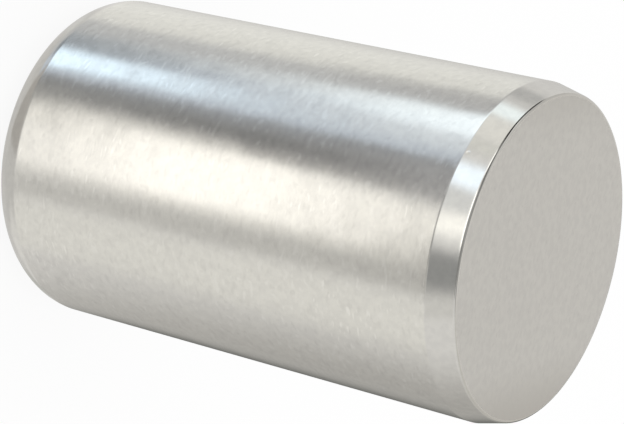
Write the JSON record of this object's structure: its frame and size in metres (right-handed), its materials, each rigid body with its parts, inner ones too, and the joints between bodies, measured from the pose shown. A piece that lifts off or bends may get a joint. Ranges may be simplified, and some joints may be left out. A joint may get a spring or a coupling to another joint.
{
  "type": "dowel pin",
  "caption": "Short ground steel dowel pin with a straight shank, a chamfered lead at the head end and a rounded tail end.",
  "frame": {"origin": "centre of the tail end's flat face, which the pin stands on", "axes": "+Z along the pin's axis, from the rounded tail end up to the chamfered head end"},
  "size_m": [0.0096, 0.0096, 0.0159],
  "materials": {
    "ground_steel": "ground shank, satin end faces"
  },
  "bodies": {
    "root": {"dowel_pin": "ground_steel"}
  },
  "joints": []
}
